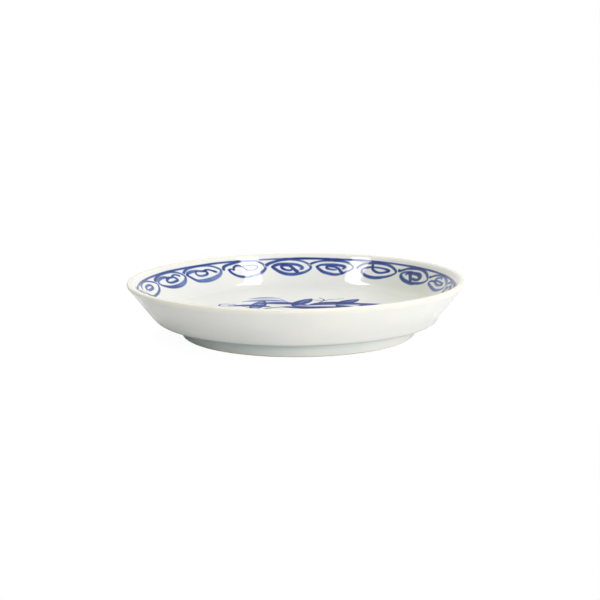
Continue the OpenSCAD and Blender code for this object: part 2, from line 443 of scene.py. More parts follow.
# Scrolls as a hand draws them: a turn over the top from the left, round and under, then what fills it
DRAWINGS = {
    "ringed": (
        ((-9.2, 1.0, 0.50, 0.95), (-7.9, 1.6, 0.48, 0.88), (-6.3, 2.2, 0.42, 0.82),
         (-4.2, 2.6, 0.38, 0.78), (-1.5, 2.75, 0.38, 0.75), (1.5, 2.6, 0.36, 0.72),
         (3.8, 2.05, 0.32, 0.72), (5.6, 1.25, 0.30, 0.78), (6.5, 0.2, 0.32, 0.80),
         (6.1, -1.0, 0.42, 0.65), (4.6, -2.1, 0.62, 0.55), (2.2, -2.75, 0.70, 0.58),
         (-0.5, -2.95, 0.62, 0.75), (-3.2, -2.6, 0.52, 0.88), (-5.8, -1.8, 0.42, 0.82),
         (-7.6, -0.8, 0.38, 0.78), (-8.1, 0.0, 0.38, 0.72), (-7.2, 0.8, 0.44, 0.70),
         (-5.4, 1.25, 0.48, 0.74), (-3.4, 1.3, 0.46, 0.78), (-1.6, 0.9, 0.42, 0.88)),
        ((1.3, 0.55, 0.36, 0.95), (2.3, 0.0, 0.38, 0.90), (2.4, -0.7, 0.40, 0.85),
         (1.0, -1.15, 0.38, 0.85), (-1.0, -1.15, 0.36, 0.85), (-2.7, -0.8, 0.38, 0.92),
         (-3.0, -0.2, 0.40, 1.00), (-2.0, 0.45, 0.40, 1.00), (-0.6, 0.8, 0.36, 0.95)),
        ((-0.6, 0.8, 0.34, 0.95), (0.4, 0.7, 0.32, 0.95), (1.5, 1.2, 0.30, 0.85),
         (2.8, 1.35, 0.28, 0.75), (3.8, 1.0, 0.32, 0.95), (4.4, 0.55, 0.34, 1.00)),
    ),
    "winged": (
        ((-7.9, 1.1, 0.42, 0.85), (-6.6, 1.9, 0.40, 0.80), (-4.8, 2.45, 0.36, 0.75),
         (-2.2, 2.8, 0.36, 0.75), (0.8, 2.85, 0.36, 0.78), (3.2, 2.5, 0.34, 0.72),
         (5.2, 1.75, 0.32, 0.70), (6.6, 0.7, 0.34, 0.72), (6.5, -0.5, 0.42, 0.65),
         (5.2, -1.6, 0.58, 0.60), (3.0, -2.4, 0.70, 0.60), (0.6, -2.85, 0.72, 0.66),
         (-1.8, -2.9, 0.64, 0.68), (-4.0, -2.55, 0.52, 0.75), (-5.7, -1.3, 0.42, 0.90),
         (-7.0, 0.15, 0.38, 0.95)),
        ((-7.0, 0.2, 0.38, 0.92), (-5.8, 0.85, 0.50, 0.78), (-4.0, 1.2, 0.48, 0.72),
         (-2.2, 1.1, 0.40, 0.70), (-0.6, 0.85, 0.36, 0.80), (0.4, 0.75, 0.36, 1.00),
         (1.3, 1.1, 0.32, 1.00), (2.4, 1.0, 0.28, 0.92), (3.4, 0.6, 0.30, 0.95),
         (4.4, 0.1, 0.38, 1.00), (5.0, -0.15, 0.28, 0.80)),
        ((-2.6, 0.9, 0.33, 0.70), (-3.1, 0.2, 0.36, 0.72), (-2.7, -0.6, 0.36, 0.74),
         (-1.2, -0.95, 0.36, 0.74), (0.4, -0.85, 0.36, 0.78), (1.3, -0.35, 0.38, 0.95),
         (1.2, 0.3, 0.36, 0.95), (0.4, 0.75, 0.33, 0.95)),
    ),
    "arched": (
        ((-8.3, 0.4, 0.46, 1.00), (-8.0, 1.3, 0.48, 0.95), (-6.8, 2.0, 0.46, 0.85),
         (-4.8, 2.45, 0.44, 0.85), (-2.2, 2.85, 0.42, 0.88), (0.8, 3.0, 0.40, 0.88),
         (3.0, 2.7, 0.34, 0.75), (4.8, 1.9, 0.30, 0.70), (5.8, 0.9, 0.34, 0.80),
         (6.0, -0.3, 0.38, 0.82), (5.0, -1.6, 0.46, 0.70), (3.0, -2.6, 0.50, 0.68),
         (0.6, -3.1, 0.48, 0.72), (-2.0, -3.1, 0.44, 0.90), (-4.2, -2.5, 0.44, 0.92),
         (-5.8, -1.3, 0.44, 0.90), (-6.5, 0.0, 0.42, 0.90)),
        ((-6.5, 0.1, 0.42, 0.90), (-5.6, 0.4, 0.30, 0.70), (-4.8, -0.1, 0.36, 0.85),
         (-4.6, 0.7, 0.38, 0.90), (-3.6, 1.4, 0.36, 0.95), (-2.4, 1.45, 0.33, 0.95),
         (-1.4, 0.7, 0.32, 0.95), (-0.4, -0.5, 0.32, 0.95)),
        ((-1.6, 1.0, 0.34, 0.80), (0.2, 1.2, 0.36, 0.75), (2.2, 1.15, 0.36, 0.75),
         (3.4, 0.5, 0.40, 0.80), (3.0, -0.3, 0.36, 0.75), (1.4, -0.7, 0.34, 0.72),
         (-0.4, -0.5, 0.32, 0.80)),
    ),
    "tailed": (
        ((-8.7, 0.8, 0.46, 0.95), (-7.6, 1.4, 0.42, 0.95), (-6.2, 2.05, 0.40, 0.90),
         (-4.2, 2.6, 0.38, 0.85), (-1.8, 2.85, 0.34, 0.80), (0.8, 2.7, 0.30, 0.72),
         (3.0, 2.1, 0.28, 0.68), (4.6, 1.2, 0.30, 0.74), (5.6, 0.1, 0.34, 0.85),
         (5.4, -0.9, 0.34, 0.78), (4.0, -1.95, 0.38, 0.76), (2.0, -2.7, 0.44, 0.80),
         (-0.2, -3.0, 0.50, 0.82), (-2.4, -2.8, 0.50, 0.88), (-4.4, -2.0, 0.48, 0.95),
         (-6.0, -0.8, 0.44, 0.95), (-6.8, 0.05, 0.38, 0.95)),
        ((-6.8, 0.1, 0.38, 0.95), (-5.6, 0.8, 0.45, 0.95), (-3.8, 1.15, 0.42, 0.88),
         (-1.6, 1.15, 0.40, 0.85), (0.4, 0.95, 0.40, 0.85), (1.9, 0.5, 0.40, 0.80),
         (2.9, -0.2, 0.42, 0.80), (2.9, -0.75, 0.36, 0.78), (2.2, -0.9, 0.26, 0.65)),
        ((-0.3, -0.9, 0.33, 0.88), (-0.9, -1.35, 0.33, 0.80), (-2.2, -1.3, 0.34, 0.82),
         (-3.4, -0.7, 0.38, 0.95), (-3.9, 0.1, 0.42, 1.00), (-3.4, 0.65, 0.42, 1.00),
         (-2.2, 0.65, 0.40, 1.00), (-1.1, 0.35, 0.40, 1.00), (-0.3, -0.35, 0.40, 1.00),
         (0.4, -1.2, 0.44, 1.00), (1.2, -1.95, 0.52, 1.00)),
    ),
    "crowned": (
        ((-7.4, 1.0, 0.38, 0.95), (-6.5, 1.6, 0.36, 0.88), (-5.0, 2.1, 0.32, 0.82),
         (-3.2, 2.5, 0.38, 0.90), (-1.2, 2.75, 0.50, 0.98), (0.8, 2.7, 0.50, 1.00),
         (2.8, 2.5, 0.40, 0.90), (4.6, 1.9, 0.30, 0.75), (6.2, 1.0, 0.28, 0.70),
         (6.9, 0.1, 0.28, 0.68), (6.2, -0.8, 0.30, 0.66), (4.6, -1.8, 0.34, 0.68),
         (2.8, -2.55, 0.40, 0.75), (0.8, -2.8, 0.46, 0.82), (-1.2, -2.55, 0.50, 0.86),
         (-3.0, -1.9, 0.46, 0.90), (-4.4, -0.9, 0.42, 0.95), (-5.3, 0.05, 0.34, 0.95)),
        ((-5.3, 0.1, 0.34, 0.95), (-4.0, 0.7, 0.36, 0.86), (-2.2, 0.95, 0.42, 0.86),
         (0.0, 0.95, 0.45, 0.90), (2.0, 0.85, 0.42, 0.90), (3.6, 0.6, 0.42, 0.90),
         (4.0, 0.15, 0.40, 0.86), (3.5, -0.5, 0.33, 0.82)),
        ((1.3, -0.9, 0.28, 0.65), (0.3, -1.0, 0.32, 0.75), (-1.0, -0.85, 0.34, 0.82),
         (-1.9, -0.35, 0.42, 0.95), (-1.8, 0.3, 0.40, 0.95), (-0.6, 0.35, 0.34, 0.86),
         (0.9, 0.0, 0.33, 0.88), (2.1, -0.65, 0.36, 1.00), (3.0, -1.5, 0.40, 1.00),
         (3.6, -2.15, 0.45, 1.00)),
    ),
    "ticked": (
        ((-7.8, 0.3, 0.32, 0.75), (-7.2, 1.2, 0.34, 0.78), (-6.0, 2.0, 0.35, 0.80),
         (-4.2, 2.45, 0.38, 0.82), (-1.8, 2.65, 0.44, 0.86), (0.6, 2.65, 0.44, 0.86),
         (2.8, 2.3, 0.40, 0.85), (4.8, 1.55, 0.36, 0.85), (6.4, 0.6, 0.34, 0.85),
         (7.0, -0.2, 0.34, 0.85), (6.0, -1.3, 0.36, 0.85), (4.2, -2.15, 0.40, 0.85),
         (2.0, -2.7, 0.46, 0.85), (-0.4, -2.95, 0.50, 0.86), (-2.8, -2.75, 0.48, 0.90),
         (-4.8, -2.0, 0.40, 0.84), (-5.8, -1.0, 0.36, 0.78), (-5.8, -0.2, 0.34, 0.75),
         (-4.8, 0.5, 0.34, 0.80), (-3.0, 0.95, 0.32, 0.85)),
        ((-2.8, 2.0, 0.34, 1.00), (-2.7, 1.2, 0.42, 1.00), (-2.3, 0.4, 0.38, 1.00),
         (-1.4, -0.35, 0.36, 0.90), (0.0, -0.85, 0.36, 0.86), (1.6, -0.9, 0.36, 0.86),
         (3.0, -0.5, 0.38, 0.92), (4.1, 0.05, 0.42, 1.00)),
        ((-2.3, 0.9, 0.30, 0.80), (-0.5, 0.95, 0.30, 0.75), (1.4, 0.8, 0.30, 0.76),
         (3.0, 0.45, 0.36, 0.90), (4.1, 0.1, 0.42, 1.00)),
    ),
    "dropped": (
        ((-6.9, 1.1, 0.28, 0.95), (-6.3, 0.7, 0.40, 1.00), (-5.4, 1.2, 0.36, 0.92),
         (-3.8, 1.95, 0.35, 0.85), (-1.8, 2.4, 0.40, 0.85), (0.4, 2.65, 0.40, 0.86),
         (2.8, 2.5, 0.38, 0.85), (5.0, 2.0, 0.36, 0.84), (7.0, 1.1, 0.34, 0.80),
         (8.5, -0.1, 0.34, 0.80), (8.0, -1.2, 0.35, 0.80), (6.2, -2.1, 0.38, 0.80),
         (4.2, -2.6, 0.42, 0.85), (2.0, -2.9, 0.48, 0.90), (-0.2, -2.75, 0.48, 0.90),
         (-2.4, -2.25, 0.46, 0.90), (-4.2, -1.4, 0.44, 0.90), (-5.0, -0.5, 0.40, 0.84),
         (-4.4, 0.3, 0.36, 0.78), (-3.0, 0.75, 0.34, 0.76), (-1.2, 1.0, 0.34, 0.80)),
        ((-2.9, -0.2, 0.36, 0.75), (-2.4, 0.35, 0.42, 0.85), (-1.0, 0.7, 0.46, 0.95),
         (0.6, 0.8, 0.50, 1.00), (2.2, 0.7, 0.54, 1.00), (3.6, 0.25, 0.60, 1.00),
         (4.3, -0.5, 0.56, 1.00), (3.7, -1.15, 0.46, 1.00), (2.4, -1.35, 0.38, 0.90),
         (1.2, -1.2, 0.34, 0.85)),
        ((-1.6, 0.5, 0.42, 0.95), (-0.7, -0.4, 0.46, 1.00), (0.2, -1.4, 0.50, 1.00),
         (0.9, -2.3, 0.50, 1.00)),
    ),
    "hooked": (
        ((-6.9, 1.0, 0.30, 0.85), (-6.2, 0.7, 0.44, 0.92), (-5.2, 1.4, 0.40, 0.86),
         (-3.6, 2.1, 0.38, 0.80), (-1.2, 2.55, 0.40, 0.72), (1.6, 2.55, 0.42, 0.68),
         (4.4, 2.0, 0.46, 0.66), (6.8, 1.1, 0.48, 0.66), (7.8, 0.0, 0.48, 0.66),
         (6.8, -1.2, 0.48, 0.66), (4.6, -2.1, 0.48, 0.66), (2.2, -2.55, 0.48, 0.68),
         (-0.4, -2.4, 0.44, 0.70), (-2.8, -2.0, 0.40, 0.74), (-4.6, -1.4, 0.37, 0.78),
         (-5.0, -0.8, 0.36, 0.80), (-3.8, -0.25, 0.34, 0.80), (-2.2, -0.2, 0.30, 0.76)),
        ((0.9, 1.55, 0.34, 0.65), (0.2, 1.9, 0.32, 0.65), (-1.2, 1.65, 0.34, 0.74),
         (-2.3, 1.0, 0.42, 0.86), (-2.3, 0.3, 0.42, 0.86), (-1.4, -0.3, 0.38, 0.78),
         (0.4, -0.75, 0.38, 0.70), (2.6, -0.65, 0.40, 0.70), (4.6, 0.0, 0.42, 0.72)),
        ((-2.0, 0.35, 0.30, 0.75), (0.0, 0.35, 0.30, 0.68), (2.2, 0.4, 0.33, 0.68),
         (4.4, 0.3, 0.38, 0.72)),
    ),
    "solid": (
        ((-8.0, 1.4, 0.42, 0.85), (-6.2, 2.1, 0.40, 0.80), (-4.0, 2.5, 0.38, 0.78),
         (-1.2, 2.6, 0.36, 0.76), (1.6, 2.1, 0.34, 0.76), (4.0, 1.4, 0.34, 0.80),
         (5.8, 0.5, 0.36, 0.85), (6.1, -0.5, 0.40, 0.85), (4.8, -1.8, 0.42, 0.82),
         (2.4, -2.6, 0.42, 0.82), (-0.6, -2.95, 0.42, 0.85), (-3.2, -2.8, 0.40, 0.85),
         (-5.6, -2.0, 0.38, 0.82), (-7.4, -0.9, 0.36, 0.80), (-8.0, -0.1, 0.34, 0.78)),
        ((-4.6, 0.0, 0.50, 0.80), (-3.6, 0.7, 0.48, 0.82), (-1.6, 0.95, 0.42, 0.84),
         (0.6, 0.8, 0.44, 0.86), (2.0, 0.1, 0.50, 0.88), (1.2, -0.6, 0.50, 0.86),
         (-0.8, -0.7, 0.46, 0.84), (-2.8, -0.5, 0.46, 0.82), (-3.6, 0.0, 0.40, 0.80)),
    ),
}

# Where each scroll stands, in degrees to the right of the far side, and how full its brush was
SCROLLS = (
    (-79.9, "solid", 0.88), (-60, "ringed", 1.02), (-41.2, "winged", 1.0), (-20.6, "arched", 0.97),
    (-1.2, "tailed", 1.07), (15.4, "crowned", 1.05), (36.1, "ticked", 1.05), (54.6, "dropped", 1.2),
    (74.3, "hooked", 0.97), (95, "arched", 1.05), (115.5, "tailed", 1.0), (136, "winged", 1.05),
    (156.5, "ticked", 1.0), (177, "ringed", 1.0), (197.5, "crowned", 1.1), (218, "arched", 1.0),
    (238.5, "winged", 1.0), (259, "solid", 1.0),
)


def scroll_strokes(name, load, hand):
    """The strokes of one scroll, each a little different as a hand draws them."""
    tilt = hand.normal(0, 0.008)
    weight = load * (1 + hand.normal(0, 0.03))
    shade = 1 + hand.normal(0, 0.03)
    strokes = []
    for points in DRAWINGS[name]:
        rows = np.array(points)
        rows[:, :2] += hand.normal(0, 0.04, rows[:, :2].shape)
        x, y = rows[:, 0].copy(), rows[:, 1].copy()
        rows[:, 0] = x * math.cos(tilt) - y * math.sin(tilt)
        rows[:, 1] = x * math.sin(tilt) + y * math.cos(tilt)
        rows[:, 2] *= weight
        rows[:, 3] = np.clip(rows[:, 3] * shade, 0, 1)
        strokes.append(drawn(rows))
    return strokes


def border():
    """The scrolls with their strokes, the radius that they are drawn at, and their plates."""
    hand = np.random.default_rng(7)
    scroll_r = float(np.interp(scroll_drop, inside_run, inside_line[:, 0]))
    scrolls, plates = [], []
    for degrees, name, load in SCROLLS:
        middle = math.radians(90 - degrees)
        strokes = scroll_strokes(name, load, hand)
        scrolls.append((middle, strokes))

        def polar(flat, middle=middle):
            return middle - flat[:, 0] / scroll_r, scroll_drop - flat[:, 1]

        x = np.arange(-SCROLL_REACH, SCROLL_REACH, BRUSH_STEP)
        under, half, _ = line_shape(middle - x / scroll_r)
        edge = np.stack([x, scroll_drop - under - SOFT_OUT * half], axis=1)
        verts, faces = painted(strokes, [edge])
        mid = verts[faces].mean(axis=1)
        faces = faces[mid[:, 1] < np.interp(mid[:, 0], edge[:, 0], edge[:, 1])]
        used, points, normals, solid = plate(verts, faces, lambda flat: on_inside(*polar(flat)))
        blue = strength(verts[used], strokes)
        blue = 1 - (1 - blue) * (1 - line_strength(*polar(verts[used])))
        plates.append((points, normals, solid, np.tile(blue, 2)))
    return scrolls, scroll_r, plates


def line_plate(scrolls, scroll_r):
    """The plate of the line, darker where the scrolls run into it."""
    turns = np.arange(LINE_STATIONS) * 2 * math.pi / LINE_STATIONS
    middle, half, _ = line_shape(turns)
    lanes = (-SOFT_OUT,) + LANES + (SOFT_OUT,)
    turn = np.tile(turns, len(lanes))
    drop = np.concatenate([middle + half * lane for lane in lanes])
    blue = 1 - line_strength(turn, drop)
    for centre, strokes in scrolls:
        x = (centre - turn + math.pi) % (2 * math.pi) - math.pi
        near = np.abs(x * scroll_r) < SCROLL_REACH
        flat = np.stack([x[near] * scroll_r, scroll_drop - drop[near]], axis=1)
        blue[near] *= 1 - strength(flat, strokes)
    faces = []
    for lane in range(len(lanes) - 1):
        for k in range(LINE_STATIONS):
            a, b = lane * LINE_STATIONS + k, lane * LINE_STATIONS + (k + 1) % LINE_STATIONS
            faces += [[a, b, b + LINE_STATIONS], [a, b + LINE_STATIONS, a + LINE_STATIONS]]
    flat = np.stack([turn, drop], axis=1)
    _, points, normals, solid = plate(flat, np.array(faces), lambda p: on_inside(p[:, 0], p[:, 1]))
    return points, normals, solid, np.tile(1 - blue, 2)


# The sprig, on the floor of the well

stem_r = (STEM_L ** 2 / 4 + STEM_RISE ** 2) / (2 * STEM_RISE)
stem_half = math.asin(STEM_L / 2 / stem_r)


def on_stem(t):
    """A point of the stem from 0 to 1, and the way that it runs there, turned as the sprig is."""
    turn = stem_half * (1 - 2 * t)
    x, y = -stem_r * math.sin(turn), STEM_RISE - stem_r + stem_r * math.cos(turn)
    swing = math.radians(SPRIG_TURN)
    point = np.array([x * math.cos(swing) - y * math.sin(swing), x * math.sin(swing) + y * math.cos(swing)])
    return point, turn + swing


def leaf_strokes(base, way, length, shade):
    """A leaf: a wash on both sides of a bare vein, inside a dark outline."""
    along = np.array([math.cos(way), math.sin(way)])
    r = (length ** 2 + LEAF_W ** 2) / (4 * LEAF_W)
    t = np.linspace(0, 1, 9)
    bulge = np.sqrt(r ** 2 - (length * (t - 0.5)) ** 2) - (r - LEAF_W / 2)
    spine = base + along * length * t[:, None]
    strokes = []
    for side in (-1, 1):
        wash = spine + left(along) * (side * 0.5 * bulge)[:, None]
        strokes.append(drawn(np.column_stack([wash, np.maximum(0.43 * bulge, 0.08), shade - 0.15 * t])))
        edge = spine + left(along) * (side * 0.9 * bulge)[:, None]
        strokes.append(drawn(np.column_stack([edge, 0.18 + 0.14 * np.sin(math.pi * t), 0.98 - 0.1 * t])))
    return strokes


# Blades, tendrils and pale leaves beside the stem
FRONDS = (
    ((-7.6, 3.6, 0.20, 0.90), (-11.0, 5.6, 1.20, 0.92), (-15.4, 6.6, 1.30, 0.88),
     (-20.6, 5.6, 0.15, 0.80)),
    ((3.4, 6.4, 0.20, 0.92), (-1.0, 9.0, 1.50, 0.96), (-6.4, 10.2, 1.70, 0.90),
     (-12.4, 9.8, 0.15, 0.80)),
    ((-4.4, 3.4, 0.20, 0.92), (2.0, 2.4, 1.60, 0.98), (9.0, 2.2, 1.90, 0.95),
     (17.0, 3.4, 0.15, 0.85)),
    ((3.4, 6.2, 0.20, 0.95), (7.4, 8.8, 1.70, 1.00), (12.4, 9.4, 2.10, 0.98),
     (19.0, 8.0, 1.10, 0.92), (25.4, 7.6, 0.15, 0.85)),
    ((-13.5, 2.5, 0.17, 0.85), (-16.5, 5.5, 0.19, 0.90), (-19.5, 8.6, 0.22, 0.90),
     (-22.6, 8.9, 0.24, 0.90), (-23.2, 6.6, 0.22, 0.90), (-21.2, 5.6, 0.20, 0.85),
     (-19.9, 6.9, 0.18, 0.80)),
    ((6.4, 9.6, 0.19, 0.90), (8.0, 12.8, 0.20, 0.90), (8.4, 15.4, 0.19, 0.90),
     (7.0, 18.4, 0.15, 0.80)),
    ((8.4, 13.4, 0.18, 0.90), (10.8, 15.6, 0.19, 0.90), (14.6, 16.8, 0.15, 0.80)),
    ((8.0, 12.8, 0.18, 0.90), (5.6, 15.0, 0.18, 0.85), (2.2, 16.4, 0.15, 0.80)),
    ((-2.0, 9.4, 0.16, 0.70), (-3.0, 12.4, 0.16, 0.60), (-4.2, 15.4, 0.15, 0.52),
     (-5.6, 18.6, 0.14, 0.48)),
    ((-3.4, 13.2, 0.20, 0.56), (-7.4, 14.4, 1.30, 0.46), (-11.6, 14.4, 1.50, 0.40),
     (-16.6, 13.0, 0.20, 0.38)),
    ((-5.4, 18.0, 0.20, 0.46), (-8.4, 19.0, 1.00, 0.36), (-11.2, 18.9, 1.10, 0.34),
     (-14.6, 17.6, 0.20, 0.32)),
)
LEAF_SHADES = ((0.80, 0.66), (0.92, 0.90), (0.95, 0.95))


def sprig_strokes():
    stem = []
    for t in np.linspace(0, 1, 7):
        point, _ = on_stem(t)
        stem.append((*point, STEM_W / 2 * (1.05 - 0.3 * t), 0.95 - 0.1 * t))
    strokes = [drawn(stem)] + [drawn(frond) for frond in FRONDS]
    for pair in range(LEAF_PAIRS):
        point, way = on_stem((pair + 0.5) / LEAF_PAIRS)
        length = LEAF_L - pair * LEAF_STEP
        lean = math.radians(LEAF_SPLAY) + 2 * math.atan(LEAF_W / length)
        start = LEAF_GAP + STEM_W / 2 / math.sin(lean)
        for side, shade in zip((-1, 1), LEAF_SHADES[pair]):
            heading = way + side * lean
            base = point + start * np.array([math.cos(heading), math.sin(heading)])
            strokes += leaf_strokes(base, heading, length, shade)
    point, way = on_stem(1)
    base = point + LEAF_GAP * np.array([math.cos(way), math.sin(way)])
    return strokes + leaf_strokes(base, way, LEAF_L - LEAF_PAIRS * LEAF_STEP, 0.9)


def on_floor(flat):
    height = np.full(len(flat), floor_z + GLAZE_T)
    return shaped(np.column_stack([flat, height]))


def sprig_plate():
    strokes = sprig_strokes()
    verts, faces = painted(strokes)
    used, points, normals, solid = plate(verts, faces, on_floor)
    return points, normals, solid, np.tile(strength(verts[used], strokes), 2)


# Materials

def srgb(r, g, b):
    """A colour read from 0 to 255, as Blender's own linear values."""
    def linear(c):
        c /= 255
        return c / 12.92 if c <= 0.04045 else ((c + 0.055) / 1.055) ** 2.4
    return (linear(r), linear(g), linear(b), 1.0)


def rising(tree, value, low, high):
    """A factor that goes smoothly from 0 at the lower value to 1 at the higher."""
    node = tree.nodes.new("ShaderNodeMapRange")
    node.interpolation_type = "SMOOTHSTEP"
    node.inputs["From Min"].default_value = low
    node.inputs["From Max"].default_value = high
    tree.links.new(value, node.inputs["Value"])
    return node.outputs["Result"]


class Paint:
    """A material under construction."""

    def __init__(self, name, roughness, shine=0.5):
        self.material = bpy.data.materials.new(name)
        self.material.use_nodes = True
        self.tree = self.material.node_tree
        self.shader = self.tree.nodes["Principled BSDF"]
        self.shader.inputs["Roughness"].default_value = roughness
        self.shader.inputs["Specular IOR Level"].default_value = shine
        self.place = self.tree.nodes.new("ShaderNodeTexCoord").outputs["Object"]

    def node(self, kind, **inputs):
        node = self.tree.nodes.new(kind)
        for name, value in inputs.items():
            self.feed(node.inputs[name], value)
        return node

    def feed(self, socket, value):
        if isinstance(value, bpy.types.NodeSocket):
            self.tree.links.new(value, socket)
        else:
            socket.default_value = value

    def noise(self, scale, detail=3.0):
        return self.node("ShaderNodeTexNoise", Vector=self.place, Scale=scale, Detail=detail).outputs["Fac"]

    def ramp(self, factor, *stops):
        node = self.node("ShaderNodeValToRGB", Fac=factor)
        marks = node.color_ramp.elements
        while len(marks) < len(stops):
            marks.new(0.5)
        for mark, (position, colour) in zip(marks, stops):
            mark.position = position
            mark.color = colour
        return node.outputs["Color"]

    def mix(self, factor, a, b, blend="MIX"):
        node = self.tree.nodes.new("ShaderNodeMix")
        node.data_type = "RGBA"
        node.blend_type = blend
        colours = [s for s in node.inputs if s.type == "RGBA"]
        self.feed(node.inputs[0], factor)
        self.feed(colours[0], a)
        self.feed(colours[1], b)
        return [s for s in node.outputs if s.type == "RGBA"][0]

    def maths(self, operation, *values):
        node = self.tree.nodes.new("ShaderNodeMath")
        node.operation = operation
        for socket, value in zip(node.inputs, values):
            self.feed(socket, value)
        return node.outputs[0]

    def along(self, axis, low, high):
        """0 at the lower place on an axis of the dish, in millimetres, and 1 at the higher."""
        sides = self.node("ShaderNodeSeparateXYZ", Vector=self.place)
        return rising(self.tree, sides.outputs[axis], low * MM, high * MM)

    def height(self, low, high):
        return self.along("Z", low, high)

    def rightward(self, low, high):
        return self.along("X", low, high)

    def from_axis(self, low, high):
        """0 at the smaller distance from the dish's axis, in millimetres, and 1 at the larger."""
        flat = self.tree.nodes.new("ShaderNodeVectorMath")
        flat.operation = "MULTIPLY"
        self.feed(flat.inputs[0], self.place)
        flat.inputs[1].default_value = (1, 1, 0)
        away = self.tree.nodes.new("ShaderNodeVectorMath")
        away.operation = "LENGTH"
        self.feed(away.inputs[0], flat.outputs["Vector"])
        return rising(self.tree, away.outputs["Value"], low * MM, high * MM)

    def graded(self, socket, factor, first, last):
        """Sets a shader's value from the first to the last, by a factor from 0 to 1."""
        node = self.node("ShaderNodeMapRange", Value=factor)
        node.inputs["To Min"].default_value = first
        node.inputs["To Max"].default_value = last
        self.feed(self.shader.inputs[socket], node.outputs["Result"])

    def bump(self, height, depth):
        bump = self.node("ShaderNodeBump", Height=height, Distance=depth * MM)
        bump.inputs["Strength"].default_value = 1.0
        self.feed(self.shader.inputs["Normal"], bump.outputs["Normal"])

    def colour(self, value):
        self.feed(self.shader.inputs["Base Color"], value)
        return self.material


GLAZE_ROUGHNESS = 0.05
OUTSIDE_ROUGHNESS = 0.12
GLAZE_SHINE = 0.42
SATIN_ROUGHNESS = 0.34
SATIN_SHINE = 0.03
WHITE_COOL = srgb(231, 232, 228)
WHITE_WARM = srgb(237, 236, 230)
# Painted shade: the inside glaze is darker than the same glaze outside, and darker still towards the right
INSIDE_PAINTED_SHADE = srgb(246, 246, 245)
INSIDE_RIGHT_PAINTED_SHADE = srgb(235, 237, 229)
# Green of glaze pooled over the foot, darkened further as painted shade of the crease
POOL_GREEN_AND_PAINTED_SHADE = srgb(197, 216, 213)
CREAM = srgb(238, 235, 222)
# White glaze of the lip's inner side, darkened by painted shade
LIP_WHITE_IN_PAINTED_SHADE = srgb(228, 227, 217)
CLAY = srgb(224, 216, 199)
FLASH = srgb(186, 152, 112)
PORCELAIN = srgb(232, 230, 222)


def glaze_white(paint):
    """The clear glaze's own white, a little uneven, with a soft ripple in its surface."""
    paint.bump(paint.noise(160, 2.0), 0.006)
    return paint.ramp(paint.noise(55), (0.35, WHITE_COOL), (0.65, WHITE_WARM))


def inside_white_in_painted_shade(paint):
    """The glaze's white inside the dish, darkened by painted shade, and a little greyer towards the right
    with more painted shade.
    """
    # Painted shade, growing towards the right
    tint = paint.mix(paint.rightward(15, 38), INSIDE_PAINTED_SHADE, INSIDE_RIGHT_PAINTED_SHADE)
    return paint.mix(1.0, glaze_white(paint), tint, "MULTIPLY")


def inside_white():
    """White inside, glossy on the wall and worn to satin on the floor of the well."""
    paint = Paint("inside_glaze", GLAZE_ROUGHNESS)
    up_wall = paint.height(floor_z + 0.35, floor_z + 1.1)
    paint.graded("Roughness", up_wall, SATIN_ROUGHNESS, GLAZE_ROUGHNESS)
    paint.graded("Specular IOR Level", up_wall, SATIN_SHINE, GLAZE_SHINE)
    return paint.colour(inside_white_in_painted_shade(paint))


def outside_white(name):
    """Glaze that gathers, faintly green, where the foot meets the underside, with painted shade in that
    crease, more so on the left.
    """
    paint = Paint(name, OUTSIDE_ROUGHNESS)
    # Where the foot meets the underside: pooled glaze and painted shade in the crease
    pool_and_painted_shade = paint.maths("MULTIPLY", paint.height(0.4, FOOT_H), paint.height(FOOT_H + 1.0, FOOT_H))
    # Painted shade: the crease darkens more to the left, away from the lamps on the right
    depth = paint.maths("MULTIPLY_ADD", paint.rightward(-26, 24), -0.74, 1.0)
    return paint.colour(paint.mix(paint.maths("MULTIPLY", pool_and_painted_shade, depth), glaze_white(paint), POOL_GREEN_AND_PAINTED_SHADE))


def lip_cream():
    """Cream where the coat runs thin over the lip, and white glaze on the lip's inner side, darkened by
    painted shade.
    """
    paint = Paint("lip_glaze", 0.2, 0.08)
    thin = paint.height(clay_h - LIP_BAND_OUT, clay_h - LIP_BAND_OUT + 0.4)
    uneven = paint.ramp(paint.noise(120), (0.3, CREAM), (0.7, WHITE_WARM))
    cream = paint.mix(0.85, uneven, CREAM)
    outward = paint.from_axis(lip_inner[0] - 0.2, lip_inner[0] + 0.9)
    # The lip's inner side: white glaze darkened by painted shade
    top = paint.mix(outward, LIP_WHITE_IN_PAINTED_SHADE, cream)
    return paint.colour(paint.mix(thin, glaze_white(paint), top))


def bare_clay():
    paint = Paint("bare_clay", 0.75)
    grain = paint.noise(900, 5.0)
    paint.bump(grain, 0.03)
    body = paint.ramp(grain, (0.3, CLAY), (0.75, PORCELAIN))
    flash = paint.maths("MULTIPLY", paint.height(0.12, BARE_H), paint.noise(220))
    return paint.colour(paint.mix(flash, body, FLASH))


def porcelain():
    paint = Paint("porcelain", 0.7)
    grain = paint.noise(700, 5.0)
    paint.bump(grain, 0.02)
    return paint.colour(paint.ramp(grain, (0.3, CLAY), (0.7, PORCELAIN)))


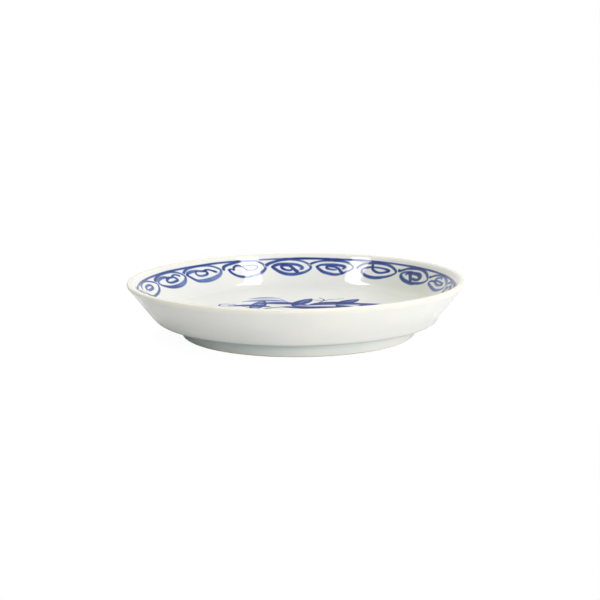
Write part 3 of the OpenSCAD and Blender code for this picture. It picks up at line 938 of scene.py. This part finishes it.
def cobalt(name, roughness, shine):
    """Blue that stains the glaze by how much of it the brush left."""
    paint = Paint(name, roughness, shine)
    left_by_brush = paint.node("ShaderNodeAttribute")
    left_by_brush.attribute_name = "cobalt"
    grain = paint.maths("MULTIPLY_ADD", paint.noise(2600, 4.0), 0.34, 0.83)
    streak = paint.maths("MULTIPLY_ADD", paint.noise(420, 2.0), 0.5, 0.75)
    amount = paint.maths("MULTIPLY", left_by_brush.outputs["Fac"], paint.maths("MULTIPLY", grain, streak))
    tint = paint.ramp(
        amount, (0.0, (1, 1, 1, 1)), (0.15, srgb(206, 214, 238)), (0.40, srgb(127, 151, 208)),
        (0.70, srgb(57, 83, 163)), (1.0, srgb(21, 41, 121)))
    # The blue lies over the inside glaze's white, painted shade included
    return paint.colour(paint.mix(1.0, inside_white_in_painted_shade(paint), tint, "MULTIPLY"))


# Pieces

def finish(piece, material, node):
    piece.data.materials.append(material)
    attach(piece, "root")
    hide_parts(node)


body_section = [
    well_middle, well_edge, lip_inner, lip_outer, shoulder, foot_out_top, foot_in_top, base_middle,
]
foot_section = [foot_out_top, foot_out_low, foot_in_low, foot_in_top]
finish(lathe("porcelain_body", rounded(body_section)), porcelain(), "dish_body")
finish(lathe("bare_foot", refined(rounded(foot_section))), bare_clay(), "foot_ring")
finish(coat("clear_inside", inside_path), inside_white(), "inside_glaze")
finish(coat("clear_outside", [out_band, shoulder, foot_out_top, out_bare]), outside_white("outside_glaze"),
       "outside_glaze")
finish(coat("cream_lip", [in_band, lip_inner, lip_outer, out_band]), lip_cream(), "lip_glaze")
finish(coat("clear_base", [in_bare, foot_in_top, base_middle]), outside_white("base_glaze"),
       "base_glaze")

all_scrolls, middle_r, scroll_plates = border()
finish(brushwork("brushed_line", [line_plate(all_scrolls, middle_r)]),
       cobalt("cobalt_line", GLAZE_ROUGHNESS, GLAZE_SHINE), "rim_line")
finish(brushwork("brushed_scrolls", scroll_plates), cobalt("cobalt_scrolls", GLAZE_ROUGHNESS, GLAZE_SHINE),
       "scroll_border")
finish(brushwork("brushed_sprig", [sprig_plate()]), cobalt("cobalt_leaves", SATIN_ROUGHNESS, SATIN_SHINE),
       "leaf_sprig")


# Stage, light and camera

def mixed(tree, factor, first, second):
    blend = tree.nodes.new("ShaderNodeMixShader")
    tree.links.new(factor, blend.inputs[0])
    tree.links.new(first, blend.inputs[1])
    tree.links.new(second, blend.inputs[2])
    return blend.outputs[0]


def by_ray(tree, light, mirrored, camera):
    """One shader for the light that it gives, one for reflections, and one for the camera."""
    path = tree.nodes.new("ShaderNodeLightPath")
    either = tree.nodes.new("ShaderNodeMath")
    either.operation = "MAXIMUM"
    tree.links.new(path.outputs["Is Glossy Ray"], either.inputs[0])
    tree.links.new(path.outputs["Is Transmission Ray"], either.inputs[1])
    seen = mixed(tree, either.outputs[0], light, mirrored)
    return mixed(tree, path.outputs["Is Camera Ray"], seen, camera)


def glow(tree, brightness):
    node = tree.nodes.new("ShaderNodeEmission")
    node.inputs["Strength"].default_value = brightness
    return node.outputs[0]


def paper(tree, shade):
    node = tree.nodes.new("ShaderNodeBsdfDiffuse")
    node.inputs["Color"].default_value = (shade, shade, shade, 1)
    return node.outputs[0]


def lit(tree, shade, brightness):
    """Paper with a glow of its own, so that a shadow on it stays pale."""
    node = tree.nodes.new("ShaderNodeAddShader")
    tree.links.new(paper(tree, shade), node.inputs[0])
    tree.links.new(glow(tree, brightness), node.inputs[1])
    return node.outputs[0]


def floor():
    """A white floor with a faint shadow of the dish, and bright on its right side in reflections."""
    size = 3.0
    verts = [(-size, -size, 0), (size, -size, 0), (size, size, 0), (-size, size, 0)]
    mesh = bpy.data.meshes.new("floor")
    mesh.from_pydata(verts, [], [(0, 1, 2, 3)])
    plane = bpy.data.objects.new("floor", mesh)
    bpy.context.scene.collection.objects.link(plane)
    material = bpy.data.materials.new("floor")
    material.use_nodes = True
    tree = material.node_tree
    place = tree.nodes.new("ShaderNodeTexCoord").outputs["Object"]
    away = tree.nodes.new("ShaderNodeVectorMath")
    away.operation = "LENGTH"
    tree.links.new(place, away.inputs[0])
    # To the camera the paper under the dish gives way to plain white
    far = rising(tree, away.outputs["Value"], 0.06, 0.16)
    camera = mixed(tree, far, lit(tree, 0.11, 0.945), glow(tree, 1.0))
    # In reflections it glows to the right of the dish, which keeps the dish's right edge pale
    sides = tree.nodes.new("ShaderNodeSeparateXYZ")
    tree.links.new(place, sides.inputs[0])
    right = rising(tree, sides.outputs["X"], 0.03, 0.06)
    mirrored = mixed(tree, right, paper(tree, 0.9), glow(tree, 0.9))
    surface = by_ray(tree, paper(tree, 0.8), mirrored, camera)
    tree.links.new(surface, tree.nodes["Material Output"].inputs["Surface"])
    mesh.materials.append(material)


def sky():
    """No light from the sky itself, which is white in reflections and to the camera."""
    world = bpy.data.worlds.new("studio")
    world.use_nodes = True
    tree = world.node_tree
    tree.nodes["Background"].inputs["Strength"].default_value = 0.0
    surface = by_ray(tree, tree.nodes["Background"].outputs[0], glow(tree, 1.0), glow(tree, 1.0))
    tree.links.new(surface, tree.nodes["World Output"].inputs["Surface"])
    bpy.context.scene.world = world


def softbox(name, place, aim, along, size, watts, mirrored=False):
    """A flat lamp at a place, facing its aim, with its second size lying along a direction."""
    light = bpy.data.lights.new(name, "AREA")
    light.shape = "RECTANGLE"
    light.size, light.size_y = size
    light.energy = watts
    lamp = bpy.data.objects.new(name, light)
    back = (Vector(place) - Vector(aim)).normalized()
    across = Vector(along).cross(back).normalized()
    lamp.matrix_world = Matrix((across, back.cross(across), back)).transposed().to_4x4()
    lamp.location = place
    lamp.visible_glossy = mirrored
    bpy.context.scene.collection.objects.link(lamp)


# The camera, fitted to the photograph in a frame of 600 by 600 pixels
FRAME_PX = 600
AIM = (0.0, 0.0, 8.0)
AIM_PX = (296.4, 306.0)
ELEVATION = 10.6
DISTANCE = 430
PX_PER_MM = 3.378
ROLL = 0.0057


def photograph():
    camera = bpy.data.cameras.new("camera")
    camera.sensor_width = 36
    camera.lens = camera.sensor_width * PX_PER_MM * DISTANCE / FRAME_PX
    camera.shift_x = (FRAME_PX / 2 - AIM_PX[0]) / FRAME_PX
    camera.shift_y = (AIM_PX[1] - FRAME_PX / 2) / FRAME_PX
    camera.clip_start = 0.01
    shot = bpy.data.objects.new("camera", camera)
    rise = math.radians(ELEVATION)
    back = Vector((0, -math.cos(rise), math.sin(rise)))
    shot.location = (Vector(AIM) + back * DISTANCE) * MM
    shot.rotation_euler = (math.pi / 2 - rise, 0, 0)
    shot.rotation_euler.rotate_axis("Z", -ROLL)
    bpy.context.scene.collection.objects.link(shot)
    bpy.context.scene.camera = shot


floor()
sky()

# The two strips are the highlights on the far wall. The other lamps only light the dish.
UPWARD = (0, 0, 1)
DISH = (0, 0, 0.01)
IN_FRONT = (0, -0.075, 0)
softbox("strip_right", (0.185, 0.05, 0.6), IN_FRONT, (-0.3, 1, -0.25), (0.08, 0.42), 1.7, mirrored=True)
softbox("strip_left", (-0.255, 0.06, 0.58), IN_FRONT, (0.35, 1, -0.25), (0.08, 0.44), 1.05, mirrored=True)
softbox("right_front", (0.35, -0.75, 0.2), DISH, UPWARD, (0.6, 0.3), 4.2)
softbox("right_side", (0.75, 0.0, 0.2), DISH, UPWARD, (0.6, 0.35), 1.3)
softbox("right_low", (0.7, -0.35, 0.09), DISH, UPWARD, (0.6, 0.16), 0.9)
softbox("right_high", (0.55, -0.35, 0.5), DISH, UPWARD, (0.5, 0.4), 0.1)
softbox("left_high", (-0.55, -0.35, 0.5), DISH, UPWARD, (0.5, 0.4), 1.0)
softbox("back", (0, 0.8, 0.45), DISH, UPWARD, (1.0, 0.5), 4.4)
photograph()
bpy.context.scene.view_settings.view_transform = "Standard"
